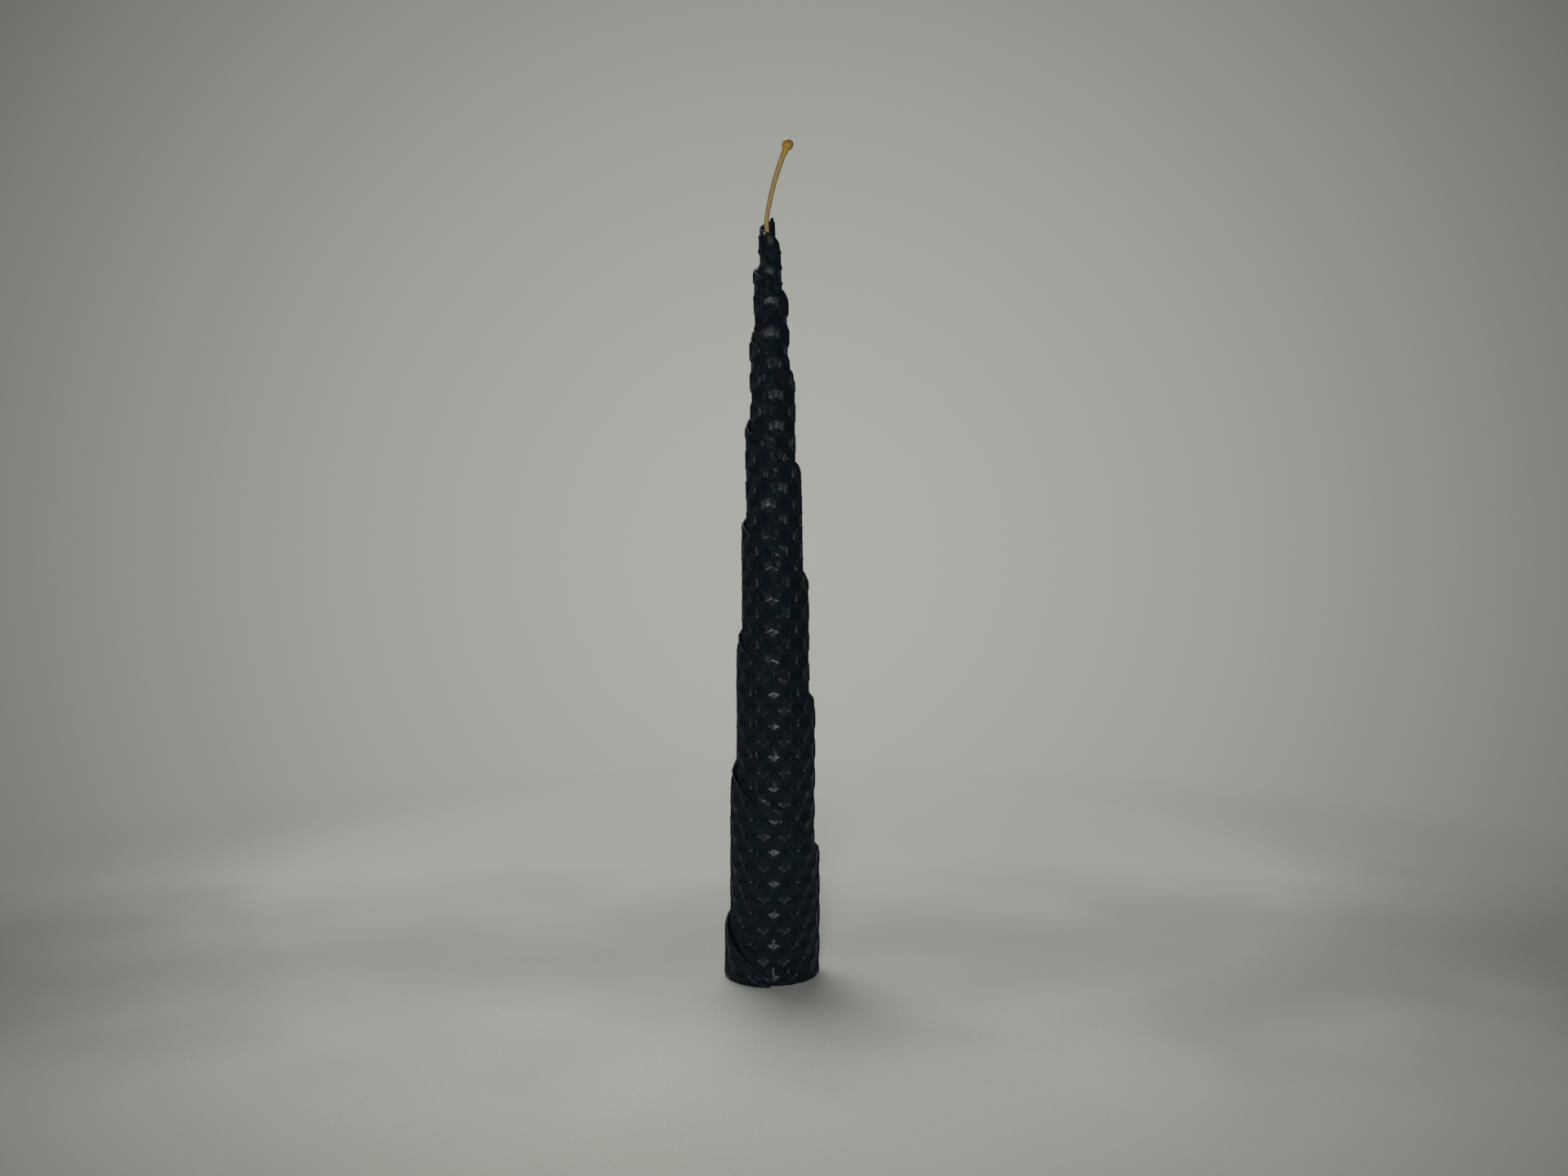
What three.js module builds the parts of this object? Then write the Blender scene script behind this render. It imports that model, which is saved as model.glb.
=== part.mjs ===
import * as THREE from 'three';

// A rolled taper candle. One right-angled triangle of embossed comb wax is wound round a wick, so its
// slanted edge climbs the candle as a spiral of low steps. The origin is the middle of the base, where
// the wick ends, and +Z is up. Lengths are in millimetres and bearings in degrees from +X towards +Y.

// The cut sheet, as it lies flat before it is rolled
const sheetHeight = 229.8; // the upright edge, which starts the roll beside the wick
const sheetLength = 407; // the bottom edge, which becomes the candle's foot
const tipHeight = 2.6; // the outer corner is blunt by this much

// How far the knife strayed over the straight slanted cut, at shares of the sheet's length
const cutStrays = [
  { share: 0, height: 0 },
  { share: 0.05, height: 2.3 },
  { share: 0.11, height: 2.6 },
  { share: 0.18, height: 0 },
  { share: 0.27, height: -2 },
  { share: 0.47, height: -1.9 },
  { share: 0.61, height: -0.4 },
  { share: 0.74, height: 0.5 },
  { share: 0.84, height: -1 },
  { share: 0.95, height: 1.2 },
  { share: 1, height: 0 },
];

// The comb cells
const cellWidth = 5.167; // across the flats, along the roll
const cellStretch = 1.038; // they are this much taller than regular ones
const cellDepth = 0.85; // from the crest of a cell wall down to the bottom of its pit
const pitShare = 0.4; // of a cell's height is the bottom of its pit; stays under a half
const webThickness = 0.28; // wax that is left between the bottom of a pit and the back of the sheet
const firstCellAlong = -0.25; // the middle of the first cell, from the upright edge
const firstCellRise = 4.15; // and from the foot

// The roll
const turnGap = 0.54; // air between one turn and the next
const tipBearing = 267; // where the outer corner comes to rest

// The wick and the drop of wax that has set on its end
const wickDiameter = 1.5;
const wickClearance = 0.3; // between the wick and the first turn
const wickFreeHeight = 22.9; // how far the wick rises over the highest point of the sheet
const wickLean = 6.3; // how far its end leans towards +X
const leanPower = 1.4; // 1 would lean in a straight line, 2 in a parabola
const beadDiameter = 3.2;
const beadHeight = 3.2;
const beadGrip = 1.5; // how deep the wick sits in the bead
const beadClearance = 0.25;

// How finely curved things are divided
const facetAngle = 0.3; // most that a facet of the roll turns, in radians
const coveredMargin = cellWidth; // the cells go on this far under the turn that covers them
const wickSides = 8;
const wickSteps = 60;
const beadSides = 16;
const beadSteps = 8;

// Worked out from the sizes above
const sheetThickness = webThickness + cellDepth;
const turnPitch = sheetThickness + turnGap;
const boreRadius = wickDiameter / 2 + wickClearance;
const middleRadius = boreRadius + sheetThickness / 2;
const columnStep = cellWidth / 2;
const rowStep = (cellWidth / Math.sqrt(3)) * cellStretch; // a cell's upright side
const pitReach = rowStep * pitShare;
const smoothDepth = (cellDepth * (3 + 2 * pitShare)) / 9; // the cells' mean depth, where it is left smooth

// Angle that the roll has turned through where the sheet's own length from its upright edge is s.
// The middle of the sheet follows r = middleRadius + turnPitch * angle / (2 pi).
function windingAngle(s) {
  const root = Math.sqrt(middleRadius ** 2 + (turnPitch * s) / Math.PI);
  return ((root - middleRadius) * 2 * Math.PI) / turnPitch;
}

// The inverse: the sheet's length up to a winding angle.
function lengthAtAngle(angle) {
  return middleRadius * angle + (turnPitch * angle ** 2) / (4 * Math.PI);
}

const rollAngle = windingAngle(sheetLength);
const startBearing = THREE.MathUtils.degToRad(tipBearing) - rollAngle;

function backRadius(angle) {
  return boreRadius + (turnPitch * angle) / (2 * Math.PI);
}

// How far the slanted edge lies over a straight cut where the sheet's length is s.
function strayHeight(s) {
  const share = Math.min(1, s / sheetLength);
  const next = Math.max(1, cutStrays.findIndex((stray) => stray.share >= share));
  const from = cutStrays[next - 1];
  const to = cutStrays[next];
  const blend = THREE.MathUtils.smoothstep(share, from.share, to.share);
  return THREE.MathUtils.lerp(from.height, to.height, blend);
}

// Height of the slanted edge where the sheet's length is s.
function edgeHeight(s) {
  return THREE.MathUtils.lerp(sheetHeight, tipHeight, s / sheetLength) + strayHeight(s);
}

// Where a point of the flat sheet lies once it is rolled. Its lift is measured from the sheet's back.
function rolledPoint(s, z, lift) {
  const angle = windingAngle(s);
  const radius = backRadius(angle) + lift;
  const bearing = startBearing + angle;
  return [radius * Math.cos(bearing), radius * Math.sin(bearing), z];
}

// The height down to which the cells show at length s: the next turn covers what is lower.
function coveredHeight(s) {
  const outerLength = lengthAtAngle(windingAngle(s) + 2 * Math.PI);
  if (outerLength >= sheetLength) {
    return 0;
  }
  return Math.max(0, edgeHeight(outerLength) - coveredMargin);
}

// The corners and middles of the cells lie on upright columns half a cell apart, one upright side from
// each other, and every second column is shifted by half a side. Every third point is the middle of a
// pit, whose bottom is a short upright line that reaches as far above it as below it.
function latticePoint(column, row) {
  const phase = column % 2 === 0 ? 0 : 1;
  const isPit = (((row - phase) % 3) + 3) % 3 === 0;
  return {
    z: firstCellRise + (row + phase / 2) * rowStep,
    depth: isPit ? cellDepth : 0,
    reach: isPit ? pitReach : 0,
  };
}

// Points where the relief's lines cross the sheet at a fraction of the way from one column to the next.
function crossings(column, fraction) {
  const points = [];
  const firstRow = Math.floor(-firstCellRise / rowStep) - 1;
  const lastRow = Math.ceil((sheetHeight - firstCellRise) / rowStep) + 1;
  for (let row = firstRow; row <= lastRow; row += 1) {
    const here = latticePoint(column, row);
    const isSingle = fraction === 0 && here.reach === 0;
    for (const side of isSingle ? [1] : [-1, 1]) {
      const nextRow = row + (side + (column % 2 === 0 ? -1 : 1)) / 2;
      const next = latticePoint(column + 1, nextRow);
      const start = here.z + side * here.reach;
      const end = next.z - side * next.reach;
      points.push({
        z: THREE.MathUtils.lerp(start, end, fraction),
        depth: THREE.MathUtils.lerp(here.depth, next.depth, fraction),
      });
    }
  }
  return points.sort((a, b) => a.z - b.z);
}

// Depth of the relief at height z on a column whose crossings are known.
function depthBetween(points, z) {
  const above = points.findIndex((point) => point.z > z);
  const low = points[above - 1];
  const high = points[above];
  return THREE.MathUtils.mapLinear(z, low.z, high.z, low.depth, high.depth);
}

// The embossed face upright across the sheet at length s: bottom edge, smooth part, cells, slanted edge.
function embossedColumn(s) {
  const place = (s - firstCellAlong) / columnStep;
  const column = Math.floor(place + 1e-6);
  const fraction = place - column < 1e-6 ? 0 : place - column;
  const top = edgeHeight(s);
  const covered = coveredHeight(s);
  const nearest = rowStep / 6; // a point closer to an end than this would only make a sliver
  const points = crossings(column, fraction);
  const heights = [];
  if (covered > 0) {
    heights.push({ z: 0, depth: smoothDepth });
    heights.push({ z: covered, depth: smoothDepth });
  } else {
    heights.push({ z: 0, depth: depthBetween(points, 0) });
  }
  for (const point of points) {
    if (point.z > covered + nearest && point.z < top - nearest) {
      heights.push(point);
    }
  }
  heights.push({ z: top, depth: depthBetween(points, top) });
  return { s, face: heights.map(({ z, depth }) => ({ z, lift: sheetThickness - depth })) };
}

// The sheet's lengths at both ends and at every lattice column that isn't close to an end.
function latticeLengths() {
  const lengths = [0];
  const nearest = columnStep / 4;
  const first = Math.ceil((nearest - firstCellAlong) / columnStep);
  const last = Math.floor((sheetLength - nearest - firstCellAlong) / columnStep);
  for (let column = first; column <= last; column += 1) {
    lengths.push(firstCellAlong + column * columnStep);
  }
  lengths.push(sheetLength);
  return lengths;
}

// All columns from the upright edge to the outer corner, closer together where the roll is tight.
function sheetColumns() {
  const lengths = latticeLengths();
  const columns = [];
  for (let k = 0; k < lengths.length - 1; k += 1) {
    const turned = windingAngle(lengths[k + 1]) - windingAngle(lengths[k]);
    const parts = Math.ceil(turned / facetAngle);
    for (let part = 0; part < parts; part += 1) {
      columns.push(embossedColumn(THREE.MathUtils.lerp(lengths[k], lengths[k + 1], part / parts)));
    }
  }
  columns.push(embossedColumn(sheetLength));
  return columns;
}

// Joins two runs of points, each in rising order, by triangles with the shortest cross lines.
function stitch(left, right, addTriangle) {
  let i = 0;
  let j = 0;
  while (i < left.length - 1 || j < right.length - 1) {
    const canLeft = i < left.length - 1;
    const canRight = j < right.length - 1;
    const leftCross = canLeft ? Math.abs(left[i + 1].z - right[j].z) : Infinity;
    const rightCross = canRight ? Math.abs(right[j + 1].z - left[i].z) : Infinity;
    if (leftCross <= rightCross) {
      addTriangle(left[i].index, right[j].index, left[i + 1].index);
      i += 1;
    } else {
      addTriangle(left[i].index, right[j].index, right[j + 1].index);
      j += 1;
    }
  }
}

function waxSheetGeometry(columns) {
  const positions = [];
  const triangles = [];
  const addPoint = (s, z, lift) => {
    positions.push(...rolledPoint(s, z, lift));
    return { z, index: positions.length / 3 - 1 };
  };
  const outward = (a, b, c) => triangles.push(a, b, c);
  const inward = (a, b, c) => triangles.push(a, c, b);
  const rolled = columns.map(({ s, face }) => ({
    front: face.map(({ z, lift }) => addPoint(s, z, lift)),
    back: [addPoint(s, 0, 0), addPoint(s, face.at(-1).z, 0)],
  }));
  for (let k = 0; k < rolled.length - 1; k += 1) {
    const here = rolled[k];
    const next = rolled[k + 1];
    stitch(here.front, next.front, outward);
    stitch(here.back, next.back, inward);
    const bottom = [here.front[0], next.front[0], next.back[0], here.back[0]].map((p) => p.index);
    const top = [here.front.at(-1), next.front.at(-1), next.back[1], here.back[1]].map((p) => p.index);
    triangles.push(bottom[0], bottom[3], bottom[2], bottom[0], bottom[2], bottom[1]);
    triangles.push(top[0], top[1], top[2], top[0], top[2], top[3]);
  }
  stitch(rolled[0].back, rolled[0].front, outward);
  stitch(rolled.at(-1).front, rolled.at(-1).back, outward);
  const geometry = new THREE.BufferGeometry();
  geometry.setAttribute('position', new THREE.Float32BufferAttribute(positions, 3));
  geometry.setIndex(triangles);
  const facets = geometry.toNonIndexed(); // so that every facet has its own normal
  facets.computeVertexNormals();
  return facets;
}

// The least air between the back of a turn and the crests of the turn inside it, over the facets.
function leastTurnGap(columns) {
  let least = Infinity;
  for (let k = 0; k < columns.length - 1; k += 1) {
    const start = new THREE.Vector3(...rolledPoint(columns[k].s, 0, 0));
    const end = new THREE.Vector3(...rolledPoint(columns[k + 1].s, 0, 0));
    const facetRadius = start.add(end).multiplyScalar(0.5).length();
    const angle = (windingAngle(columns[k].s) + windingAngle(columns[k + 1].s)) / 2;
    if (angle > 2 * Math.PI) {
      const crestRadius = backRadius(angle - 2 * Math.PI) + sheetThickness;
      least = Math.min(least, facetRadius - crestRadius);
    }
  }
  return least;
}

// The wick runs straight up the bore and leans over above the sheet.
class WickRoute extends THREE.Curve {
  getPoint(t, target = new THREE.Vector3()) {
    const z = t * (sheetHeight + wickFreeHeight);
    const risen = Math.max(0, z - sheetHeight) / wickFreeHeight;
    return target.set(wickLean * risen ** leanPower, 0, z);
  }
}

const wickRoute = new WickRoute();

function wickGeometry() {
  const section = new THREE.Shape();
  section.absarc(0, 0, wickDiameter / 2, 0, 2 * Math.PI, false);
  return new THREE.ExtrudeGeometry(section, {
    steps: wickSteps,
    curveSegments: wickSides / 2,
    extrudePath: wickRoute,
    bevelEnabled: false,
  });
}

// A rounded drop with a socket in its underside, turned about its own Y axis.
const socketRadius = wickDiameter / 2 + beadClearance;
const mouthAngle = -Math.acos(socketRadius / (beadDiameter / 2));
const mouthHeight = (beadHeight / 2) * Math.sin(mouthAngle);
const socketTop = mouthHeight + beadGrip + beadClearance;

function beadGeometry() {
  const profile = [new THREE.Vector2(0, socketTop), new THREE.Vector2(socketRadius, socketTop)];
  for (let step = 0; step <= beadSteps; step += 1) {
    const angle = THREE.MathUtils.lerp(mouthAngle, Math.PI / 2, step / beadSteps);
    const radius = step === beadSteps ? 0 : (beadDiameter / 2) * Math.cos(angle);
    profile.push(new THREE.Vector2(radius, (beadHeight / 2) * Math.sin(angle)));
  }
  return new THREE.LatheGeometry(profile, beadSides);
}

function waxSheet() {
  const columns = sheetColumns();
  console.log(`least gap between turns ${leastTurnGap(columns).toFixed(3)} mm`);
  const material = new THREE.MeshStandardMaterial({ color: 0x14191d, roughness: 0.5, metalness: 0 });
  const mesh = new THREE.Mesh(waxSheetGeometry(columns), material);
  mesh.name = 'wax_sheet';
  return mesh;
}

function wick() {
  const material = new THREE.MeshStandardMaterial({ color: 0x9a8a5c, roughness: 0.7, metalness: 0 });
  const mesh = new THREE.Mesh(wickGeometry(), material);
  mesh.name = 'wick';
  return mesh;
}

function wickBead() {
  const material = new THREE.MeshStandardMaterial({ color: 0x8a6a2c, roughness: 0.4, metalness: 0 });
  const mesh = new THREE.Mesh(beadGeometry(), material);
  const direction = wickRoute.getTangentAt(1);
  const middle = wickRoute.getPointAt(1).addScaledVector(direction, beadClearance - socketTop);
  mesh.position.copy(middle);
  mesh.quaternion.setFromUnitVectors(new THREE.Vector3(0, 1, 0), direction);
  mesh.name = 'wick_bead';
  return mesh;
}

const candle = new THREE.Group();
candle.add(waxSheet(), wick(), wickBead());

export default candle;
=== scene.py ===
import math

import bpy
import numpy as np
from mathutils import Euler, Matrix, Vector


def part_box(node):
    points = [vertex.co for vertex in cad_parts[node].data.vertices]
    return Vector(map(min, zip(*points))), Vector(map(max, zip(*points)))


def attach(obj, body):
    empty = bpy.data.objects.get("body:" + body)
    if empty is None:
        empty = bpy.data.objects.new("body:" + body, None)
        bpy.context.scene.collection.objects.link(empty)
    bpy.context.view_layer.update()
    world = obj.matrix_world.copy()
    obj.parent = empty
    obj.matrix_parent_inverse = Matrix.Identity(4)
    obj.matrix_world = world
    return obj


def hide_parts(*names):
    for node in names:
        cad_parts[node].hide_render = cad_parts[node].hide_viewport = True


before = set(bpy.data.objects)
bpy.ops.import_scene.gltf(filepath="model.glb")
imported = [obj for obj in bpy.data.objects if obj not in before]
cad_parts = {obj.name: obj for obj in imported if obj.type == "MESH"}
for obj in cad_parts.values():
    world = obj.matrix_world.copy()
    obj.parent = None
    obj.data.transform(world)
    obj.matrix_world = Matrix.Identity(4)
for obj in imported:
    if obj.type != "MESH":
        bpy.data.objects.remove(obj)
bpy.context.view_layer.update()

# A rolled beeswax taper: one triangle of milled comb foundation wound round a primed wick.
# Lengths in the dictionaries are millimetres, and metre turns them into Blender's own unit.

metre = 0.001

# A Mix node set to colours is reached by socket number: its share, its two colours, and its result
mixShare, mixFrom, mixTo, mixed = 0, 6, 7, 2


def linearColour(hexCode):
    channels = [int(hexCode[i:i + 2], 16) / 255 for i in (1, 3, 5)]
    return [c / 12.92 if c <= 0.04045 else ((c + 0.055) / 1.055) ** 2.4 for c in channels] + [1.0]


# values are set on the new node's sockets, and links are joined to them
def addNode(tree, kind, values=None, links=None, **settings):
    node = tree.nodes.new(kind)
    for name, value in settings.items():
        setattr(node, name, value)
    for socket, value in (values or {}).items():
        node.inputs[socket].default_value = value
    for socket, source in (links or {}).items():
        tree.links.new(source, node.inputs[socket])
    return node


def newMaterial(name):
    material = bpy.data.materials.new(name)
    material.use_nodes = True
    tree = material.node_tree
    shader = tree.nodes["Principled BSDF"]
    coords = tree.nodes.new("ShaderNodeTexCoord").outputs["Object"]
    return material, tree, shader, coords


def perMetre(sizeInMm):  # a texture's Scale that gives features of this size
    return 1 / (sizeInMm * metre)


# Smooth noise on a plane from a seeded table, -1 to 1, for whole arrays at once
def softNoise(x, y, size, seed):
    cells = 64
    table = np.random.default_rng(seed).uniform(-1, 1, (cells, cells))
    u, v = np.asarray(x) / size, np.asarray(y) / size
    i, j = np.floor(u).astype(int), np.floor(v).astype(int)
    fu, fv = u - i, v - j
    fu, fv = fu * fu * (3 - 2 * fu), fv * fv * (3 - 2 * fv)

    def corner(a, b):
        return table[(i + a) % cells, (j + b) % cells]

    low = corner(0, 0) * (1 - fu) + corner(1, 0) * fu
    high = corner(0, 1) * (1 - fu) + corner(1, 1) * fu
    return low * (1 - fv) + high * fv


def easeIn(value, start, end):
    t = np.clip((np.asarray(value, dtype=float) - start) / (end - start), 0, 1)
    return t * t * (3 - 2 * t)


def softMin(a, b, width):
    return 0.5 * (a + b - np.sqrt((a - b) ** 2 + width * width))


def meshObject(name, points, faces, material, attributes):
    mesh = bpy.data.meshes.new(name)
    faces = np.asarray(faces, dtype=np.int32)
    corners = faces.shape[1]
    mesh.vertices.add(len(points))
    mesh.vertices.foreach_set("co", (np.asarray(points) * metre).astype(np.float32).ravel())
    mesh.loops.add(faces.size)
    mesh.loops.foreach_set("vertex_index", faces.ravel())
    mesh.polygons.add(len(faces))
    mesh.polygons.foreach_set("loop_start", np.arange(0, faces.size, corners, dtype=np.int32))
    mesh.update(calc_edges=True)
    for key, values in attributes.items():
        layer = mesh.attributes.new(key, "FLOAT", "POINT")
        layer.data.foreach_set("value", np.asarray(values, dtype=np.float32))
    mesh.polygons.foreach_set("use_smooth", np.ones(len(faces), dtype=bool))
    mesh.validate()
    piece = bpy.data.objects.new(name, mesh)
    bpy.context.scene.collection.objects.link(piece)
    mesh.materials.append(material)
    return piece


# The frame's own sizes

wickLow, wickHigh = (Vector(c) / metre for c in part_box("wick"))
sheetHigh = Vector(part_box("wax_sheet")[1]) / metre
beadLow, beadHigh = (Vector(c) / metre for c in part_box("wick_bead"))
wickRadius = (wickHigh.y - wickLow.y) / 2


# Camera, at the height of the candle's middle and an arm's length away

camera = {
    "distance": 410,
    "height": 129,
    "aside": 4.22,  # to the right of the wick
    "pitch": -1.5,
    "roll": -0.4,
    "lens": 30.85,
    "sensor": 36,
    "nearest": 10,
}


def placeCamera():
    data = bpy.data.cameras.new("camera")
    data.lens = camera["lens"]
    data.sensor_width = camera["sensor"]
    data.clip_start = camera["nearest"] * metre
    place = bpy.data.objects.new("camera", data)
    place.location = Vector((camera["aside"], -camera["distance"], camera["height"])) * metre
    tilt = Euler((math.radians(90 + camera["pitch"]), 0, 0)).to_matrix()
    turn = Euler((0, 0, math.radians(camera["roll"]))).to_matrix()
    place.rotation_euler = (tilt @ turn).to_euler()
    bpy.context.scene.collection.objects.link(place)
    bpy.context.scene.camera = place


# Dyed beeswax foundation, milled between engraved rollers. The mill polishes the pits, so they
# flash in the light. The walls of the cells are duller, and a shade paler on their crests: partly wear,
# partly a painted highlight.

dyedWax = {
    "body": "#0a1219",
    "teal": "#09161b",  # the dye is cloudy and leans to this
    "plum": "#0e1118",  # or to this
    "dyeAt": (0.36, 0.5, 0.66),  # where in the clouds' noise teal, body and plum are
    "dyeCloud": 5.0,
    "rubbed": "#0d151a",  # crests of the walls, paler: partly worn, partly a painted highlight
    "crestWearAndSheenShare": 0.6,
    "wornPatch": 7.0,  # size of the worn and unworn patches
    "wornAt": (0.38, 0.65),
    "crestAt": (0.8, 1.02),  # a wall's crest, as a share of the sheet's thickness
    "bloom": "#1a2024",  # specks of the pale film that wax gets
    "bloomShare": 0.4,
    "bloomGrain": 0.45,
    "bloomAt": (0.62, 0.8),
    "fleck": "#8f7a3c",  # crumbs of undyed wax
    "fleckSpacing": 9.0,
    "fleckSize": 0.16,
    "fleckBlur": 1.5,  # its colour ends this many times as far out
    "fleckShare": 0.9,
    "paleSpot": "#9c9377",  # a small pale spot, set where the wick leaves the wax
    "paleSpotPlace": (-0.95, -2.82, 225.3),
    "paleSpotSize": 0.4,
    "paleSpotCore": 0.7,  # share of it with the full colour
    "paleSpotShare": 0.9,
    "ior": 1.44,
    "specular": 0.15,  # bloom on the wax dulls it
    "pitRoughness": 0.25,
    "wallRoughness": 0.52,
    "pitToWall": (0.15, 0.95),  # as shares of the sheet's thickness
    "bloomRoughness": 0.16,  # from a clear place to a speck
    "handledFrom": 120,  # above this height the wax was held while it was rolled, and is duller
    "handledTo": 200,
    "handledRoughness": 0.11,
    "scuffRoughness": 0.3,  # where a cut edge lies on the wax
    "dent": 0.8,  # small dents from rolling
    "dentDepth": 0.07,
    "dentStrength": 0.3,
    "millMark": 0.2,  # the finest marks of the mill, drawn coarse enough to show
    "millMarkDepth": 0.02,
    "millMarkStrength": 0.35,
    "seamWidth": 0.13,  # half of the groove that the die leaves in a pit's lowest face
    "seamDepth": 0.06,
}


def dyedBeeswax():
    material, tree, shader, coords = newMaterial("beeswax foundation, dyed and milled")
    # what the mesh carries: height in the sheet, nearness of a cut edge, distance from a seam
    relief = addNode(tree, "ShaderNodeAttribute", attribute_name="relief").outputs["Fac"]
    edge = addNode(tree, "ShaderNodeAttribute", attribute_name="edge").outputs["Fac"]
    seam = addNode(tree, "ShaderNodeAttribute", attribute_name="seam").outputs["Fac"]

    clouds = addNode(tree, "ShaderNodeTexNoise",
                     {"Scale": perMetre(dyedWax["dyeCloud"]), "Detail": 3.0, "Roughness": 0.6},
                     {"Vector": coords})
    dye = addNode(tree, "ShaderNodeValToRGB", links={"Fac": clouds.outputs["Fac"]})
    dye.color_ramp.elements.new(0.5)
    for stop, place, name in zip(dye.color_ramp.elements, dyedWax["dyeAt"], ("teal", "body", "plum")):
        stop.position = place
        stop.color = linearColour(dyedWax[name])

    patches = addNode(tree, "ShaderNodeTexNoise",
                      {"Scale": perMetre(dyedWax["wornPatch"]), "Detail": 2.0}, {"Vector": coords})
    worn = addNode(tree, "ShaderNodeMapRange",
                   {"From Min": dyedWax["wornAt"][0], "From Max": dyedWax["wornAt"][1],
                    "To Min": 0.0, "To Max": dyedWax["crestWearAndSheenShare"]},
                   {"Value": patches.outputs["Fac"]})
    # the crests go towards the paler colour in worn patches: partly wear, partly a painted highlight
    crestWearAndSheen = addNode(tree, "ShaderNodeMapRange",
                  {"From Min": dyedWax["crestAt"][0], "From Max": dyedWax["crestAt"][1], "To Min": 0.0},
                  {"Value": relief, "To Max": worn.outputs["Result"]})
    walls = addNode(tree, "ShaderNodeMix", {mixTo: linearColour(dyedWax["rubbed"])},
                    {mixShare: crestWearAndSheen.outputs["Result"], mixFrom: dye.outputs["Color"]}, data_type="RGBA")

    grain = addNode(tree, "ShaderNodeTexNoise",
                    {"Scale": perMetre(dyedWax["bloomGrain"]), "Detail": 4.0, "Roughness": 0.7},
                    {"Vector": coords})
    specks = addNode(tree, "ShaderNodeMapRange",
                     {"From Min": dyedWax["bloomAt"][0], "From Max": dyedWax["bloomAt"][1],
                      "To Min": 0.0, "To Max": dyedWax["bloomShare"]},
                     {"Value": grain.outputs["Fac"]})
    bloomed = addNode(tree, "ShaderNodeMix", {mixTo: linearColour(dyedWax["bloom"])},
                      {mixShare: specks.outputs["Result"], mixFrom: walls.outputs[mixed]},
                      data_type="RGBA")

    crumbs = addNode(tree, "ShaderNodeTexVoronoi", {"Scale": perMetre(dyedWax["fleckSpacing"])},
                     {"Vector": coords})
    fleckEdge = dyedWax["fleckSize"] / dyedWax["fleckSpacing"]
    fleck = addNode(tree, "ShaderNodeMapRange",
                    {"From Min": fleckEdge, "From Max": dyedWax["fleckBlur"] * fleckEdge,
                     "To Min": dyedWax["fleckShare"], "To Max": 0.0},
                    {"Value": crumbs.outputs["Distance"]})
    flecked = addNode(tree, "ShaderNodeMix", {mixTo: linearColour(dyedWax["fleck"])},
                      {mixShare: fleck.outputs["Result"], mixFrom: bloomed.outputs[mixed]},
                      data_type="RGBA")

    # a small pale spot is painted on the wax where the wick leaves it
    fromPaleSpot = addNode(tree, "ShaderNodeVectorMath", {1: [x * metre for x in dyedWax["paleSpotPlace"]]},
                       {0: coords}, operation="DISTANCE")
    paleSpotEdge = dyedWax["paleSpotSize"] * metre
    paleSpot = addNode(tree, "ShaderNodeMapRange",
                   {"From Min": dyedWax["paleSpotCore"] * paleSpotEdge, "From Max": paleSpotEdge,
                    "To Min": dyedWax["paleSpotShare"], "To Max": 0.0},
                   {"Value": fromPaleSpot.outputs["Value"]})
    colour = addNode(tree, "ShaderNodeMix", {mixTo: linearColour(dyedWax["paleSpot"])},
                     {mixShare: paleSpot.outputs["Result"], mixFrom: flecked.outputs[mixed]},
                     data_type="RGBA")
    tree.links.new(colour.outputs[mixed], shader.inputs["Base Color"])

    spread = dyedWax["bloomRoughness"]
    smooth = addNode(tree, "ShaderNodeMapRange",
                     {"From Min": dyedWax["pitToWall"][0], "From Max": dyedWax["pitToWall"][1],
                      "To Min": dyedWax["pitRoughness"] - spread / 2,
                      "To Max": dyedWax["wallRoughness"] - spread / 2},
                     {"Value": relief})
    uneven = addNode(tree, "ShaderNodeMath", {1: spread},
                     {0: grain.outputs["Fac"], 2: smooth.outputs["Result"]}, operation="MULTIPLY_ADD")
    place = addNode(tree, "ShaderNodeSeparateXYZ", {}, {0: coords})
    handled = addNode(tree, "ShaderNodeMapRange",
                      {"From Min": dyedWax["handledFrom"] * metre,
                       "From Max": dyedWax["handledTo"] * metre,
                       "To Min": 0.0, "To Max": dyedWax["handledRoughness"]},
                      {"Value": place.outputs["Z"]})
    dull = addNode(tree, "ShaderNodeMath", {},
                   {0: uneven.outputs["Value"], 1: handled.outputs["Result"]}, operation="ADD")
    scuffed = addNode(tree, "ShaderNodeMath", {1: dyedWax["scuffRoughness"]},
                      {0: edge, 2: dull.outputs["Value"]}, operation="MULTIPLY_ADD")
    tree.links.new(scuffed.outputs["Value"], shader.inputs["Roughness"])
    shader.inputs["IOR"].default_value = dyedWax["ior"]
    shader.inputs["Specular IOR Level"].default_value = dyedWax["specular"]

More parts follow.
